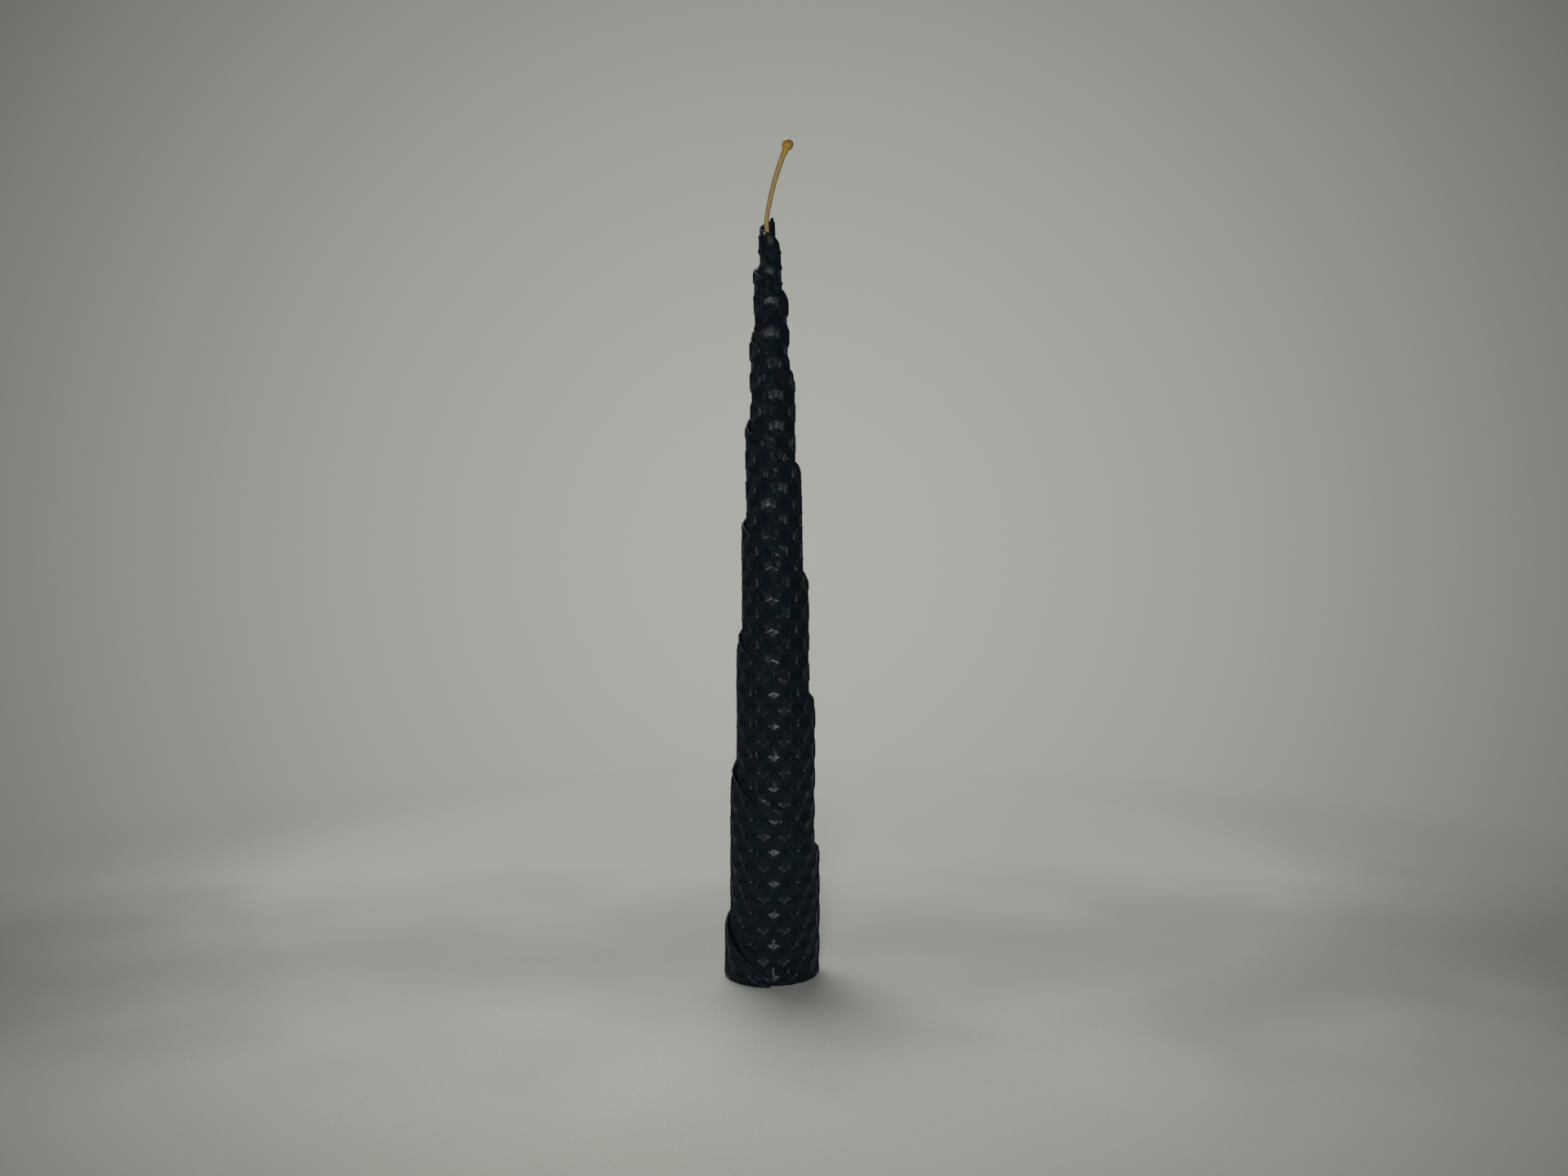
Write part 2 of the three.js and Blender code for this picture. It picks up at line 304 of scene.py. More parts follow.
    dents = addNode(tree, "ShaderNodeTexNoise", {"Scale": perMetre(dyedWax["dent"]), "Detail": 2.0},
                    {"Vector": coords})
    dentBump = addNode(tree, "ShaderNodeBump",
                       {"Strength": dyedWax["dentStrength"], "Distance": dyedWax["dentDepth"] * metre},
                       {"Height": dents.outputs["Fac"]})
    marks = addNode(tree, "ShaderNodeTexNoise", {"Scale": perMetre(dyedWax["millMark"]), "Detail": 3.0},
                    {"Vector": coords})
    markBump = addNode(tree, "ShaderNodeBump",
                       {"Strength": dyedWax["millMarkStrength"],
                        "Distance": dyedWax["millMarkDepth"] * metre},
                       {"Height": marks.outputs["Fac"], "Normal": dentBump.outputs["Normal"]})
    groove = addNode(tree, "ShaderNodeMapRange",
                     {"From Min": 0.0, "From Max": dyedWax["seamWidth"], "To Min": 0.0, "To Max": 1.0},
                     {"Value": seam}, interpolation_type="SMOOTHSTEP")
    seamBump = addNode(tree, "ShaderNodeBump",
                       {"Strength": 1.0, "Distance": dyedWax["seamDepth"] * metre},
                       {"Height": groove.outputs["Result"], "Normal": markBump.outputs["Normal"]})
    tree.links.new(seamBump.outputs["Normal"], shader.inputs["Normal"])
    return material


# Braided cotton primed in yellow beeswax: the strands show as soft slanting ridges under the wax,
# and the grooves between them are painted a deeper yellow as shade.

primedWick = {
    "ridge": "#97814d",
    # the groove colour is painted shade between the strands
    "groove": "#8a723d",
    "dusty": "#96855b",  # where the wax has gone pale
    "dustyShare": 0.6,
    "dustyAt": (0.4, 0.7),
    "dustyPatch": 2.4,
    "ior": 1.44,
    "roughness": 0.5,
    "glow": 0.15,  # light goes a little way into the wax
    "glowDepth": 0.6,
    "fibre": 0.12,
    "fibreDepth": 0.04,
    "fibreStrength": 0.6,
}


def primedCotton():
    material, tree, shader, coords = newMaterial("cotton braid, primed in beeswax")
    relief = addNode(tree, "ShaderNodeAttribute", attribute_name="relief").outputs["Fac"]
    patches = addNode(tree, "ShaderNodeTexNoise",
                      {"Scale": perMetre(primedWick["dustyPatch"]), "Detail": 3.0}, {"Vector": coords})
    # painted shade: the grooves between the strands get the darker colour
    strands = addNode(tree, "ShaderNodeMix",
                      {mixFrom: linearColour(primedWick["groove"]),
                       mixTo: linearColour(primedWick["ridge"])},
                      {mixShare: relief}, data_type="RGBA")
    share = addNode(tree, "ShaderNodeMapRange",
                    {"From Min": primedWick["dustyAt"][0], "From Max": primedWick["dustyAt"][1],
                     "To Min": 0.0, "To Max": primedWick["dustyShare"]},
                    {"Value": patches.outputs["Fac"]})
    colour = addNode(tree, "ShaderNodeMix", {mixTo: linearColour(primedWick["dusty"])},
                     {mixShare: share.outputs["Result"], mixFrom: strands.outputs[mixed]},
                     data_type="RGBA")
    tree.links.new(colour.outputs[mixed], shader.inputs["Base Color"])
    shader.inputs["Roughness"].default_value = primedWick["roughness"]
    shader.inputs["IOR"].default_value = primedWick["ior"]
    shader.inputs["Subsurface Weight"].default_value = primedWick["glow"]
    shader.inputs["Subsurface Scale"].default_value = primedWick["glowDepth"] * metre
    fibres = addNode(tree, "ShaderNodeTexNoise",
                     {"Scale": perMetre(primedWick["fibre"]), "Detail": 3.0}, {"Vector": coords})
    bump = addNode(tree, "ShaderNodeBump",
                   {"Strength": primedWick["fibreStrength"],
                    "Distance": primedWick["fibreDepth"] * metre},
                   {"Height": fibres.outputs["Fac"]})
    tree.links.new(bump.outputs["Normal"], shader.inputs["Normal"])
    return material


# Undyed beeswax that has set as a drop: amber, with a soft shine, and a little clouded. Its colour
# goes browner towards its top.

amberWax = {
    "lowAmber": "#9a7f36",
    "topBrown": "#83571f",
    "topBrownAt": (0.6, 1.2),
    "cloud": 1.4,
    "cloudShare": 0.5,
    "cloudDepth": 0.1,
    "cloudStrength": 0.25,
    "ior": 1.44,
    "specular": 0.3,
    "roughness": 0.42,
    "glow": 0.35,  # light goes some way into the drop
    "glowDepth": 1.5,
}


def amberBeeswax():
    material, tree, shader, coords = newMaterial("beeswax, undyed, set as a drop")
    relief = addNode(tree, "ShaderNodeAttribute", attribute_name="relief").outputs["Fac"]
    cloud = addNode(tree, "ShaderNodeTexNoise",
                    {"Scale": perMetre(amberWax["cloud"]), "Detail": 2.0}, {"Vector": coords})
    depth = addNode(tree, "ShaderNodeMath", {1: amberWax["cloudShare"]},
                    {0: cloud.outputs["Fac"], 2: relief}, operation="MULTIPLY_ADD")
    # the colour goes browner towards the top of the drop, in clouds
    share = addNode(tree, "ShaderNodeMapRange",
                    {"From Min": amberWax["topBrownAt"][0], "From Max": amberWax["topBrownAt"][1],
                     "To Min": 0.0, "To Max": 1.0},
                    {"Value": depth.outputs["Value"]})
    colour = addNode(tree, "ShaderNodeMix",
                     {mixFrom: linearColour(amberWax["lowAmber"]), mixTo: linearColour(amberWax["topBrown"])},
                     {mixShare: share.outputs["Result"]}, data_type="RGBA")
    tree.links.new(colour.outputs[mixed], shader.inputs["Base Color"])
    shader.inputs["Roughness"].default_value = amberWax["roughness"]
    shader.inputs["Specular IOR Level"].default_value = amberWax["specular"]
    shader.inputs["IOR"].default_value = amberWax["ior"]
    shader.inputs["Subsurface Weight"].default_value = amberWax["glow"]
    shader.inputs["Subsurface Scale"].default_value = amberWax["glowDepth"] * metre
    bump = addNode(tree, "ShaderNodeBump",
                   {"Strength": amberWax["cloudStrength"], "Distance": amberWax["cloudDepth"] * metre},
                   {"Height": cloud.outputs["Fac"]})
    tree.links.new(bump.outputs["Normal"], shader.inputs["Normal"])
    return material


# The sheet and how it is rolled. It repeats the frame's wax_sheet, with the embossing in full.
# A point of it is s along the flat sheet from the wick, z up it, and lift out from its back.

sheet = {
    "height": sheetHigh.z,
    "length": 407,
    "tip": 2.6,  # blunt outer corner
    "thickness": 1.13,
    "turnGap": 0.54,
    "boreClearance": 0.3,
    "tipBearing": 267,  # degrees, of the outer corner
    "bow": 1.1,  # the whole candle bends to the right by this much at its middle
    # hand rolling leaves all turns alike out of round: by how much, lobes, twist and phase
    "outOfRound": ((0.1, 2, 31, 0), (0.06, 3, -17, 1), (0.05, 1, 9, 0)),
    # how far the knife strayed over the straight cut, at shares of the length
    "strays": (
        (0, 1.0), (0.0045, 1.6), (0.012, 2.8), (0.023, 2.5), (0.036, 3.5), (0.06, 2.2),
        (0.11, 2.6), (0.18, 0), (0.27, -2), (0.47, -1.9), (0.61, -0.4), (0.74, 0.5),
        (0.84, -1), (0.95, 1.2), (1, 0),
    ),
    "waver": ((0.12, 7, 3), (0.05, 1.7, 4)),  # of the knife: height, length and seed
    "waverFades": ((0.5, 4), (0.5, 6)),  # in from the wick's end, and out to the tip
    "cutSlant": 0.75,  # the knife was held at a slant, so the back ends this much lower
    "edgeRound": 0.13,  # on every cut edge
    "topCorner": 1.2,  # the corner at the wick is softened down by this
    "topCornerReach": 1.3,

    # the comb that the mill's rollers press into it
    "cell": 5.167,  # across the flats, along the roll
    "stretch": 1.038,  # cells are this much taller than regular ones
    "startAlong": -0.25,  # where the cells start, so that a row of pits faces the camera
    "startUp": 4.15,
    "pitDepth": 0.95,  # crest of a wall to the deepest point
    "pitTilt": 0.27,  # slope of the three faces in a pit
    "pitLevel": 0.03,  # pits' floors differ in height by this
    "pitWobble": 0.03,  # and in slope by this
    "handledWobble": 0.1,  # or by this near the top
    "handledFlat": 0.45,  # the upper faces of a pit are this much flatter across near the top
    "pitSeed": 11,
    "shallowest": 0.35,  # no pit's floor is nearer to the crests than this
    "pitCorner": 0.1,  # softness of the line where a wall meets the floor
    "seamStart": 0.35,  # how far under a pit's middle the seam starts
    "wallSlope": 1.5,
    "wallRound": 0.1,  # radius of a wall's crest
    "web": 0.4,  # wax between a pit and the back
    "backCrest": -0.28,  # how far the walls on the back stand in
    "backCrestAt": (2, 8),  # the angle, in radians from the wick, over which they come in
    "backCorner": 0.08,

    # what rolling does to it
    "pinch": 0.24,  # fingers pressed the top turns flatter by this share
    "pinchFrom": 18,  # from this far below the top
    "pinchTo": 3,
    "cutPress": 0.22,  # the knife pressed its cut down by this share
    "cutReliefLost": 0.75,  # and took this share of the relief
    "cutReach": 1.3,
    "underEdge": 0.7,  # share of the relief lost where the next turn's cut lies on it
    "underEdgeAt": (0.4, 2.4),
    # how much the surface is rubbed down, size of the patches, and seed
    "rubs": ((0.1, 6, 5), (0.04, 2.2, 6)),
    "broadRubAt": (-0.2, 0.9),
    "leanIn": 0.24,  # how far the cut edge settled towards the turn inside it
    "curl": 0.3,  # and how far it curls out again in places
    "curlAt": (-0.3, 0.9),
    "curlLength": 9,
    "curlSeed": 8,
    "curlReach": 1.8,
    "settled": 25,  # the sheet's outer end lies flat over this length

    # how finely the mesh is made
    "divisions": 7,  # steps along a cell's side
    "crowding": 1.7,  # gathers those steps near the walls
    "plainCut": (0.5, 2.2),  # no crowding up to this far from the slanted cut, and all of it here
    "plainEdge": (0.2, 1.5),  # and from the other edges
    "coveredMargin": 2.0,  # the front goes on this far under the next turn
    "backMargin": 3.0,  # the back goes on this far down from the cut
    "slimmest": 0.3,  # the least step at an edge, as a share of a whole one
}

cellSide = sheet["cell"] / math.sqrt(3)
rowStep = 1.5 * cellSide  # before the stretch
turnPitch = sheet["thickness"] + sheet["turnGap"]
boreRadius = wickRadius + sheet["boreClearance"]
middleRadius = boreRadius + sheet["thickness"] / 2


def windingAngle(s):
    root = np.sqrt(middleRadius ** 2 + turnPitch * s / math.pi)
    return (root - middleRadius) * 2 * math.pi / turnPitch


def lengthAtAngle(angle):
    return middleRadius * angle + turnPitch * angle ** 2 / (4 * math.pi)


startBearing = math.radians(sheet["tipBearing"]) - float(windingAngle(sheet["length"]))


def bowAt(z):
    share = np.clip(np.asarray(z) / sheet["height"], 0, 1)
    return sheet["bow"] * 4 * share * (1 - share)


def strayAt(s):
    share = s / sheet["length"]
    total = np.zeros_like(share)
    for (start, low), (end, high) in zip(sheet["strays"], sheet["strays"][1:]):
        within = (share >= start) & (share <= end)
        total = np.where(within, low + (high - low) * easeIn(share, start, end), total)
    return total


def edgeHeight(s):  # of the slanted cut
    s = np.asarray(s, dtype=float)
    straight = sheet["tip"] + (sheet["height"] - sheet["tip"]) * (1 - s / sheet["length"])
    waver = sum(high * softNoise(s, 0 * s, size, seed) for high, size, seed in sheet["waver"])
    fadeIn, fadeOut = sheet["waverFades"]
    fade = easeIn(s, *fadeIn) * easeIn(sheet["length"] - s, *fadeOut)
    corner = sheet["topCorner"] * np.clip(1 - s / sheet["topCornerReach"], 0, 1) ** 2
    return straight + strayAt(s) + waver * fade - corner


def nextEdge(s):  # height of the next turn's cut over this place, or far below the foot past the last
    outer = lengthAtAngle(windingAngle(s) + 2 * math.pi)
    return np.where(outer >= sheet["length"], -sheet["height"], edgeHeight(outer))


def coveredHeight(s):
    return np.maximum(0, nextEdge(s) - sheet["coveredMargin"])


# The nearest cell: the way from its middle, and its row and column in the comb
def nearestCell(s, z):
    along, up = s - sheet["startAlong"], (z - sheet["startUp"]) / sheet["stretch"]
    best = None
    for shift in (0, 1):
        row = np.floor(up / rowStep) + shift
        offset = np.where(row % 2 == 0, 0, sheet["cell"] / 2)
        column = np.round((along - offset) / sheet["cell"])
        ds, dz = along - offset - column * sheet["cell"], up - row * rowStep
        found = (ds * ds + dz * dz, ds, dz, row, column)
        if best is None:
            best = found
        else:
            closer = found[0] < best[0]
            best = tuple(np.where(closer, new, old) for new, old in zip(found, best))
    return best[1:]


def wallDistance(ds, dz):  # from a point in a cell to the crest of its nearest wall
    slant = np.abs(ds) / 2 + np.abs(dz) * math.sqrt(3) / 2
    return sheet["cell"] / 2 - np.maximum(np.abs(ds), slant)


def handledAt(z):
    return easeIn(z, dyedWax["handledFrom"], dyedWax["handledTo"])


# Three faces rise from a pit's middle, the lowest one to the bottom corner. Near the top, where
# the roll is tightest, the upper two are stretched flatter across.
def pitFaces(ds, dz, z):
    across = 1 - sheet["handledFlat"] * handledAt(z)
    return np.maximum(-dz, np.abs(ds) * math.sqrt(3) / 2 * across + dz / 2)


def seamDistance(ds, dz):  # from the groove down the middle of the lowest face
    return np.minimum(np.abs(ds) + np.maximum(0, dz + sheet["seamStart"]), 1)


def wallProfile(distance):
    return sheet["wallSlope"] * (np.sqrt(distance ** 2 + sheet["wallRound"] ** 2) - sheet["wallRound"])


def pressed(s, z):  # 1 on the foot and on the slanted cut, fading to 0 a little way into the sheet
    return 1 - easeIn(np.minimum(z, edgeHeight(s) - z), 0, sheet["cutReach"])


def besideEdge(s, z):  # 1 where the next turn's cut lies on this one, fading to 0 beside it
    return 1 - easeIn(np.abs(z - nextEdge(s)), *sheet["underEdgeAt"])


def frontLift(s, z):
    ds, dz, row, column = nearestCell(s, z)
    kept = 97  # rows and columns of cells before their differences repeat
    differences = np.random.default_rng(sheet["pitSeed"]).normal(0, 1, (3, kept, kept))
    level, tiltAlong, tiltUp = differences[:, row.astype(int) % kept, column.astype(int) % kept]
    slope = sheet["pitWobble"] + (sheet["handledWobble"] - sheet["pitWobble"]) * handledAt(z)
    floor = sheet["pitDepth"] - sheet["pitTilt"] * pitFaces(ds, dz, z)
    floor = floor + sheet["pitLevel"] * level + slope * (tiltAlong * ds + tiltUp * dz)
    wall = wallProfile(wallDistance(ds, dz))
    relief = softMin(wall, np.maximum(floor, sheet["shallowest"]), sheet["pitCorner"])
    relief = relief * (1 - sheet["cutReliefLost"] * pressed(s, z))
    relief = relief * (1 - sheet["underEdge"] * besideEdge(s, z))
    (broad, broadSize, broadSeed), (fine, fineSize, fineSeed) = sheet["rubs"]
    rubbed = broad * easeIn(softNoise(s, z, broadSize, broadSeed), *sheet["broadRubAt"])
    rubbed = rubbed + fine * softNoise(s, z, fineSize, fineSeed)
    return sheet["thickness"] * (1 - sheet["cutPress"] * pressed(s, z)) - rubbed - relief


def backLift(s, z):
    ds, dz, _, _ = nearestCell(s, z)
    web = sheet["thickness"] - sheet["pitDepth"] + sheet["pitTilt"] * pitFaces(ds, dz, z) - sheet["web"]
    bs, bz, _, _ = nearestCell(s, z - cellSide * sheet["stretch"])
    crest = sheet["backCrest"] * easeIn(windingAngle(s), *sheet["backCrestAt"])
    return softMin(web, crest + wallProfile(wallDistance(bs, bz)), sheet["backCorner"])


# Mesh points crowd towards the walls, except along the cut edges
def crowdToWalls(s, z):
    ds, dz, _, _ = nearestCell(s, z)
    reach = 1 - wallDistance(ds, dz) / (sheet["cell"] / 2)
    grown = 1 - (1 - np.clip(reach, 0, 1)) ** sheet["crowding"]
    gain = np.where(reach > 1e-6, grown / np.maximum(reach, 1e-6), 1) - 1
    free = easeIn(edgeHeight(s) - z, *sheet["plainCut"]) * easeIn(z, *sheet["plainEdge"])
    free = free * easeIn(s, *sheet["plainEdge"]) * easeIn(sheet["length"] - s, *sheet["plainEdge"])
    return s + ds * gain * free, z + dz * sheet["stretch"] * gain * free


def outOfRound(bearing, z):
    return sum(much * np.sin(lobes * bearing + z / twist + phase)
               for much, lobes, twist, phase in sheet["outOfRound"])


def curlAt(s, z):  # how far the cut edge stands out from the roll, or in
    places = softNoise(s, 0 * s, sheet["curlLength"], sheet["curlSeed"])
    out = sheet["curl"] * easeIn(places, *sheet["curlAt"])
    fade = np.exp(-np.maximum(edgeHeight(s) - z, 0) / sheet["curlReach"])
    return (out - sheet["leanIn"]) * fade * easeIn(sheet["length"] - s, 0, sheet["settled"])


def rolled(s, z, lift):
    angle = windingAngle(s)
    bearing = startBearing + angle
    pinched = easeIn(z, sheet["height"] - sheet["pinchFrom"], sheet["height"] - sheet["pinchTo"])
    lift = lift * (1 - sheet["pinch"] * pinched)
    radius = boreRadius + turnPitch * angle / (2 * math.pi) + lift + curlAt(s, z) + outOfRound(bearing, z)
    return np.stack([radius * np.cos(bearing) + bowAt(z), radius * np.sin(bearing), z], axis=1)


# Joins two upright runs of points, each in rising order, with the shortest cross lines
def stitch(left, right, heights, faces):
    i, j = 0, 0
    while i < len(left) - 1 or j < len(right) - 1:
        upLeft = abs(heights[left[i + 1]] - heights[right[j]]) if i < len(left) - 1 else math.inf
        upRight = abs(heights[right[j + 1]] - heights[left[i]]) if j < len(right) - 1 else math.inf
        if upLeft <= upRight:
            faces.append((left[i], right[j], left[i + 1]))
            i += 1
        else:
            faces.append((left[i], right[j], right[j + 1]))
            j += 1


# The flat sheet's points in upright columns, each with its front and then its back
def sheetColumns():
    rise = cellSide / sheet["divisions"] * sheet["stretch"]
    step = sheet["cell"] / 2 / sheet["divisions"]
    edge, slim = sheet["edgeRound"], sheet["slimmest"]
    first = math.ceil((edge + slim * step - sheet["startAlong"]) / step)
    last = math.floor((sheet["length"] - edge - slim * step - sheet["startAlong"]) / step)
    inner = np.arange(first, last + 1)
    lengths = np.concatenate([[0.0, edge], inner * step + sheet["startAlong"],
                              [sheet["length"] - edge, sheet["length"]]])
    shifts = np.concatenate([[0, 0], 0.5 * (inner % 2), [0, 0]]) + sheet["startUp"] / rise
    s, z, isFront, columns = [], [], [], []
    for length, shift, top, hidden in zip(lengths, shifts, edgeHeight(lengths), coveredHeight(lengths)):
        sides = []
        for front, lowest in ((True, hidden), (False, max(0, top - sheet["backMargin"]))):
            top -= 0 if front else sheet["cutSlant"]
            lowRow = math.ceil(max(lowest, edge + slim * rise) / rise - shift)
            highRow = math.floor((top - edge) / rise - shift - slim)
            middle = [(row + shift) * rise for row in range(lowRow, highRow + 1)]
            run = [0.0, edge] + middle + [top - edge, top]
            sides.append(list(range(len(z), len(z) + len(run))))
            s += [length] * len(run)
            z += run
            isFront += [front] * len(run)
        columns.append(sides)
    return np.array(s), np.array(z), np.array(isFront), columns


def sheetFaces(columns, z):
    faces = []
    for (front, back), (nextFront, nextBack) in zip(columns, columns[1:]):
        stitch(front, nextFront, z, faces)
        inside = []
        stitch(back, nextBack, z, inside)
        faces += [(a, c, b) for a, b, c in inside]
        foot = (front[0], back[0], nextBack[0], nextFront[0])
        rim = (front[-1], nextFront[-1], nextBack[-1], back[-1])
        for a, b, c, d in (foot, rim):
            faces += [(a, b, c), (a, c, d)]
    stitch(columns[0][1], columns[0][0], z, faces)
    stitch(columns[-1][0], columns[-1][1], z, faces)
    return faces


def rollSheet(material):
    s, z, isFront, columns = sheetColumns()
    faces = sheetFaces(columns, z.tolist())
    s[isFront], z[isFront] = crowdToWalls(s[isFront], z[isFront])
    lift = np.where(isFront, frontLift(s, z), backLift(s, z))
    # rounds the cut edges: their last points stand in from both faces
    top = edgeHeight(s) - np.where(isFront, 0, sheet["cutSlant"])
    fromCut = np.minimum.reduce([s, sheet["length"] - s, z, top - z])
    inset = sheet["edgeRound"] * np.clip(1 - fromCut / sheet["edgeRound"], 0, 1)
    lift = lift - np.where(isFront, inset, -inset)
    ds, dz, _, _ = nearestCell(s, z)
    attributes = {
        "relief": np.where(isFront, lift / sheet["thickness"], 0.5),
        "edge": besideEdge(s, z),
        "seam": np.where(isFront, seamDistance(ds, dz), 1),
    }
    print("wax sheet:", len(z), "points,", len(faces), "faces")
    return meshObject("rolled_wax_sheet", rolled(s, z, lift), faces, material, attributes)


# The wick, which follows the candle's bow in its bore and leans over above the wax

wick = {
    "lean": 6.35,
    "leanPower": 1.55,
    "sway": 0.35,  # a slight bend the other way where it leaves the wax
    "swayBelow": 1,  # strongest this far below the sheet's top
    "swayReach": 3.5,
    "neck": 0.71,  # radius just above the wax, where the priming drew it tight
    "neckBelow": 4,
    "swell": 0.87,  # and under the bead
    "braidPitch": 4.2,
    "ridges": 3,
    "crossing": 0.8,  # the strands that slant the other way stand this share as high
    "relief": 0.045,
    "sides": 40,
    "braidBelow": 8,  # the mesh is fine from this far below the sheet's top
    "ringStep": 0.14,
    "hiddenRings": 40,
}


def wickPoint(z):
    risen = max(0, (z - sheet["height"]) / (wickHigh.z - sheet["height"]))
    sway = wick["sway"] * math.exp(-((z - sheet["height"] + wick["swayBelow"]) / wick["swayReach"]) ** 2)
    return Vector((wick["lean"] * risen ** wick["leanPower"] - sway + float(bowAt(z)), 0, z))


def wickDirection(z):
    return (wickPoint(z + 0.1) - wickPoint(z - 0.1)).normalized()


def wickThickness(z):
    above = float(easeIn(z, sheet["height"] - wick["neckBelow"], wickHigh.z))
    return wick["neck"] + (wick["swell"] - wick["neck"]) * above


def tube(rings, sides):  # faces of a closed tube whose points are listed ring by ring, then two hubs
    faces = []
    for ring in range(rings - 1):
        for k in range(sides):
            a, b = ring * sides + k, ring * sides + (k + 1) % sides
            faces.append((a, b, b + sides))
            faces.append((a, b + sides, a + sides))
    lowHub, highHub, last = rings * sides, rings * sides + 1, (rings - 1) * sides
    for k in range(sides):
        a, b = k, (k + 1) % sides
        faces.append((lowHub, b, a))
        faces.append((highHub, last + a, last + b))
    return faces


def spokes(along, sides):  # unit vectors round a direction in the plane of the wick's lean
    across = Vector((0, 1, 0))
    aside = along.cross(across).normalized()
    angles = [2 * math.pi * k / sides for k in range(sides)]
    return [(angle, across * math.sin(angle) - aside * math.cos(angle)) for angle in angles]


def braidWick(material):
    exposed = sheet["height"] - wick["braidBelow"]
    heights = list(np.linspace(0, exposed, wick["hiddenRings"]))
    heights += list(np.arange(exposed + 0.2, wickHigh.z, wick["ringStep"]))
    points, relief = [], []
    for z in heights:
        centre, along = wickPoint(z), wickDirection(z)
        climb = 2 * math.pi * z / wick["braidPitch"]
        for angle, spoke in spokes(along, wick["sides"]):
            rising = math.cos(wick["ridges"] * angle + climb)
            falling = math.cos(wick["ridges"] * angle - climb)
            ridge = 0.5 + 0.5 * max(rising, wick["crossing"] * falling)
            points.append(centre + spoke * (wickThickness(z) - wick["relief"] * (1 - ridge)))
            relief.append(ridge)
    points += [wickPoint(heights[0]), wickPoint(heights[-1])]
    relief += [0.5, 0.5]
    faces = tube(len(heights), wick["sides"])
    return meshObject("braided_wick", [list(p) for p in points], faces, material, {"relief": relief})


# The drop on its end: a squat ball with a flattened top that runs down into a skirt on the wick

bead = {
    "across": beadHigh.y - beadLow.y,
    "high": 3.1,
    "flat": 2.6,  # 2 would be a ball, and more makes it squarer
    "skirt": 1.6,  # how far the wax film runs down the wick
    "film": 0.08,
    "fillet": 0.1,  # softness of the line between ball and skirt, squared
    "sag": 0.2,  # it hangs a little to the low side
    "lumps": ((0.04, 2, 1.3), (0.025, 3, 1)),  # how much, how many round it, and their twist
    "rings": 36,
    "ringCrowding": 0.8,  # under 1 gathers the rings towards the top
    "sides": 48,
}


def setBead(material):
    along = wickDirection(wickHigh.z - 0.2)
    middle = Vector(((beadLow.x + beadHigh.x) / 2, 0, (beadLow.z + beadHigh.z) / 2))
    half = bead["high"] / 2
    low = -half - bead["skirt"]
    points, relief = [], []
    for k in range(bead["rings"]):
        t = low + (half - low) * (k / (bead["rings"] - 1)) ** bead["ringCrowding"]
        radius = max(0, 1 - abs(t / half) ** bead["flat"]) ** (1 / bead["flat"]) * bead["across"] / 2
        if t < 0:
            neck = wick["swell"] + bead["film"] * (t - low) / bead["skirt"]
            radius = 0.5 * (radius + neck + math.sqrt((radius - neck) ** 2 + bead["fillet"]))
        for angle, spoke in spokes(along, bead["sides"]):
            lump = 1 + sum(much * math.sin(lobes * angle + twist * t)
                           for much, lobes, twist in bead["lumps"])
            droop = bead["sag"] * max(0, math.cos(angle)) * min(1, radius / bead["across"])
            points.append(middle + along * t + spoke * (radius * lump + droop))
            relief.append(min(1, max(0, 0.5 + t / bead["high"])))
    points += [middle + along * low, middle + along * half]
    relief += [0, 1]
    faces = tube(bead["rings"], bead["sides"])
    return meshObject("amber_bead", [list(p) for p in points], faces, material, {"relief": relief})


# Stage and light: a pale cotton floor that melts into a pale room, a small lamp just over the
# camera that makes the pits flash, a broad soft one high up behind, and a faint one on the left

stage = {
    "floor": "#bfbfb8",
    "shade": "#a9aaa3",  # between the threads
    "weave": 1.1,  # coarser than real threads, so that it shows
    "dim": "#787a73",  # painted shade, out of the light
    "litPlace": 150,  # the painted light on the floor is strongest this far behind the candle
    "litReach": 200,
    "dimReach": 340,
    "foldShade": 20,  # painted shade of a fold: the cotton is dimmer along a line this far behind the wick
    "foldShadeShare": 0.42,
    "foldShadeWidth": 130,
    "foldShadeStray": 60,  # the line wanders by this much, with the folds
    "folds": 90,
    "foldsAt": (0.3, 0.7),
    "foldDepth": 4,
    "foldStrength": 0.5,
    "roughness": 0.9,
    "specular": 0.1,
    "solid": 150,  # the floor is whole out to here
    "gone": 430,  # and has melted into the room here
    "size": 700,
    "roomFront": "#2c3035",
    "roomAside": "#656761",
    "roomBehind": "#aeaea8",
    "roomAt": (0.3, 0.9, 1.0),  # 0 is straight in front of the candle, and 1 straight behind it
}

lamps = [
    {"name": "key", "at": (-8, -414, 181), "aim": 120, "across": 60, "watts": 1.35},
    {"name": "above", "at": (-170, 560, 1150), "aim": 60, "across": 700, "watts": 11.0},
    {"name": "left", "at": (-800, 300, 600), "aim": 120, "across": 600, "watts": 0.4},
]


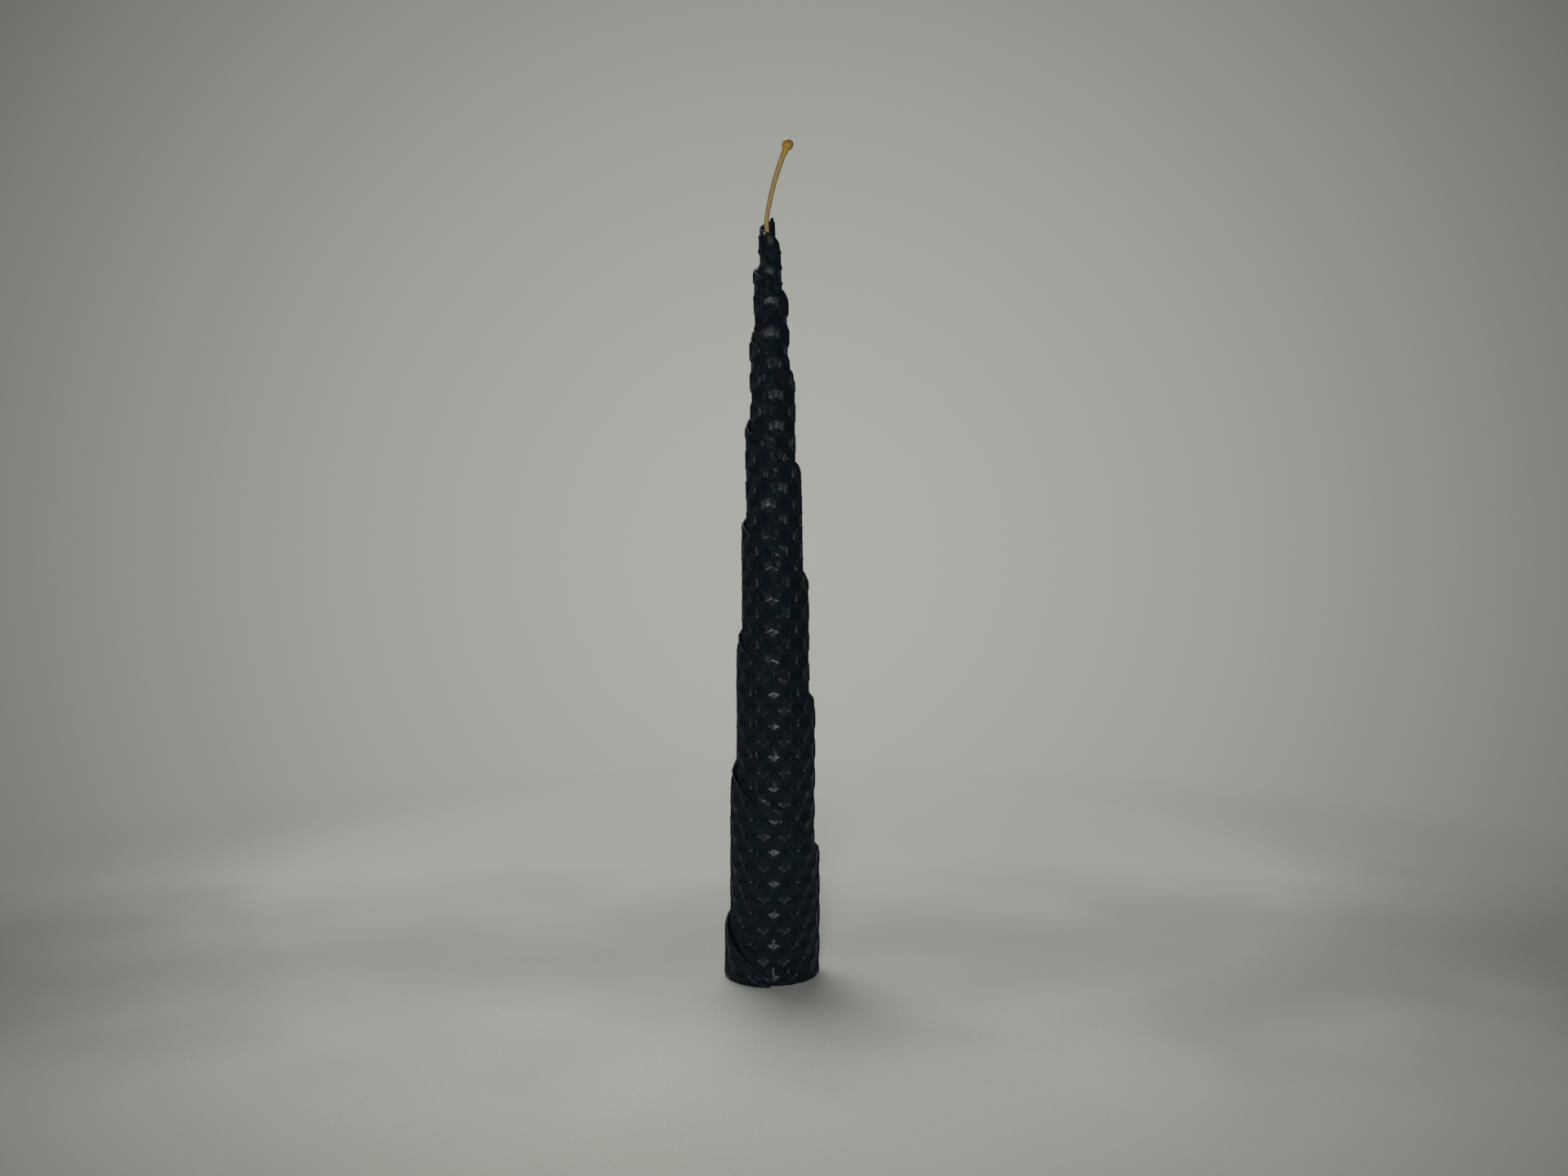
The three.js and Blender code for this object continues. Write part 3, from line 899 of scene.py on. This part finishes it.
def paleFloor():
    material, tree, shader, coords = newMaterial("cotton sheet, pale")
    weave = addNode(tree, "ShaderNodeTexNoise",
                    {"Scale": perMetre(stage["weave"]), "Detail": 3.0, "Roughness": 0.8},
                    {"Vector": coords})
    threads = addNode(tree, "ShaderNodeMix",
                      {mixFrom: linearColour(stage["shade"]), mixTo: linearColour(stage["floor"])},
                      {mixShare: weave.outputs["Fac"]}, data_type="RGBA")
    folds = addNode(tree, "ShaderNodeTexNoise", {"Scale": perMetre(stage["folds"]), "Detail": 2.0},
                    {"Vector": coords})
    foldBump = addNode(tree, "ShaderNodeBump",
                       {"Strength": stage["foldStrength"], "Distance": stage["foldDepth"] * metre},
                       {"Height": folds.outputs["Fac"]})
    tree.links.new(foldBump.outputs["Normal"], shader.inputs["Normal"])

    # painted light and shade: the floor's colour dims away from a lit place behind the candle, and along
    # a fold line
    fromLit = addNode(tree, "ShaderNodeVectorMath", {1: (0, stage["litPlace"] * metre, 0)},
                      {0: coords}, operation="DISTANCE")
    away = addNode(tree, "ShaderNodeMapRange",
                   {"From Min": stage["litReach"] * metre, "From Max": stage["dimReach"] * metre},
                   {"Value": fromLit.outputs["Value"]})
    place = addNode(tree, "ShaderNodeSeparateXYZ", {}, {0: coords})
    line = addNode(tree, "ShaderNodeMapRange",
                   {"From Min": stage["foldsAt"][0], "From Max": stage["foldsAt"][1],
                    "To Min": -(stage["foldShade"] + stage["foldShadeStray"] / 2) * metre,
                    "To Max": -(stage["foldShade"] - stage["foldShadeStray"] / 2) * metre},
                   {"Value": folds.outputs["Fac"]})
    fromFoldShade = addNode(tree, "ShaderNodeMath", {}, {0: place.outputs["Y"], 1: line.outputs["Result"]},
                      operation="ADD")
    beside = addNode(tree, "ShaderNodeMath", {}, {0: fromFoldShade.outputs["Value"]}, operation="ABSOLUTE")
    foldShade = addNode(tree, "ShaderNodeMapRange",
                  {"From Min": 0.0, "From Max": stage["foldShadeWidth"] * metre,
                   "To Min": stage["foldShadeShare"], "To Max": 0.0},
                  {"Value": beside.outputs["Value"]}, interpolation_type="SMOOTHSTEP")
    dimmed = addNode(tree, "ShaderNodeMath", {},
                     {0: away.outputs["Result"], 1: foldShade.outputs["Result"]},
                     operation="ADD", use_clamp=True)
    cloth = addNode(tree, "ShaderNodeMix", {mixTo: linearColour(stage["dim"])},
                    {mixShare: dimmed.outputs["Value"], mixFrom: threads.outputs[mixed]},
                    data_type="RGBA")
    tree.links.new(cloth.outputs[mixed], shader.inputs["Base Color"])
    shader.inputs["Roughness"].default_value = stage["roughness"]
    shader.inputs["Specular IOR Level"].default_value = stage["specular"]

    outward = addNode(tree, "ShaderNodeVectorMath", {}, {0: coords}, operation="LENGTH")
    fade = addNode(tree, "ShaderNodeMapRange",
                   {"From Min": stage["solid"] * metre, "From Max": stage["gone"] * metre,
                    "To Min": 0.0, "To Max": 1.0},
                   {"Value": outward.outputs["Value"]}, interpolation_type="SMOOTHSTEP")
    clear = addNode(tree, "ShaderNodeBsdfTransparent")
    surface = addNode(tree, "ShaderNodeMixShader", {},
                      {0: fade.outputs["Result"], 1: shader.outputs["BSDF"], 2: clear.outputs["BSDF"]})
    tree.links.new(surface.outputs["Shader"], tree.nodes["Material Output"].inputs["Surface"])
    return material


def paleRoom():
    world = bpy.data.worlds.new("studio")
    world.use_nodes = True
    tree = world.node_tree
    direction = addNode(tree, "ShaderNodeTexCoord").outputs["Generated"]
    parts = addNode(tree, "ShaderNodeSeparateXYZ", {}, {0: direction})
    depth = addNode(tree, "ShaderNodeMapRange", {"From Min": -1.0, "From Max": 1.0},
                    {0: parts.outputs["Y"]})
    shades = addNode(tree, "ShaderNodeValToRGB", {}, {0: depth.outputs["Result"]})
    shades.color_ramp.elements.new(0.5)
    names = ("roomFront", "roomAside", "roomBehind")
    for stop, place, name in zip(shades.color_ramp.elements, stage["roomAt"], names):
        stop.position = place
        stop.color = linearColour(stage[name])
    tree.links.new(shades.outputs["Color"], tree.nodes["Background"].inputs["Color"])
    bpy.context.scene.world = world


def layFloor():
    mesh = bpy.data.meshes.new("floor")
    half = stage["size"] * metre
    mesh.from_pydata([(-half, -half, 0), (half, -half, 0), (half, half, 0), (-half, half, 0)],
                     [], [(0, 1, 2, 3)])
    mesh.materials.append(paleFloor())
    floor = bpy.data.objects.new("floor", mesh)
    bpy.context.scene.collection.objects.link(floor)


def hangLamps():
    for lamp in lamps:
        data = bpy.data.lights.new(lamp["name"], "AREA")
        data.shape = "DISK"
        data.size = lamp["across"] * metre
        data.energy = lamp["watts"]
        place = bpy.data.objects.new(lamp["name"], data)
        place.location = Vector(lamp["at"]) * metre
        aim = Vector((0, 0, lamp["aim"])) * metre - place.location
        place.rotation_euler = aim.to_track_quat("-Z", "Y").to_euler()
        place.visible_camera = False
        bpy.context.scene.collection.objects.link(place)


def dress(piece, node):
    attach(piece, "root")
    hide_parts(node)


placeCamera()
layFloor()
paleRoom()
hangLamps()
print("camera and stage are set")
dress(rollSheet(dyedBeeswax()), "wax_sheet")
dress(braidWick(primedCotton()), "wick")
print("wick is braided")
dress(setBead(amberBeeswax()), "wick_bead")
print("bead is set")

bpy.context.scene.view_settings.view_transform = "Standard"
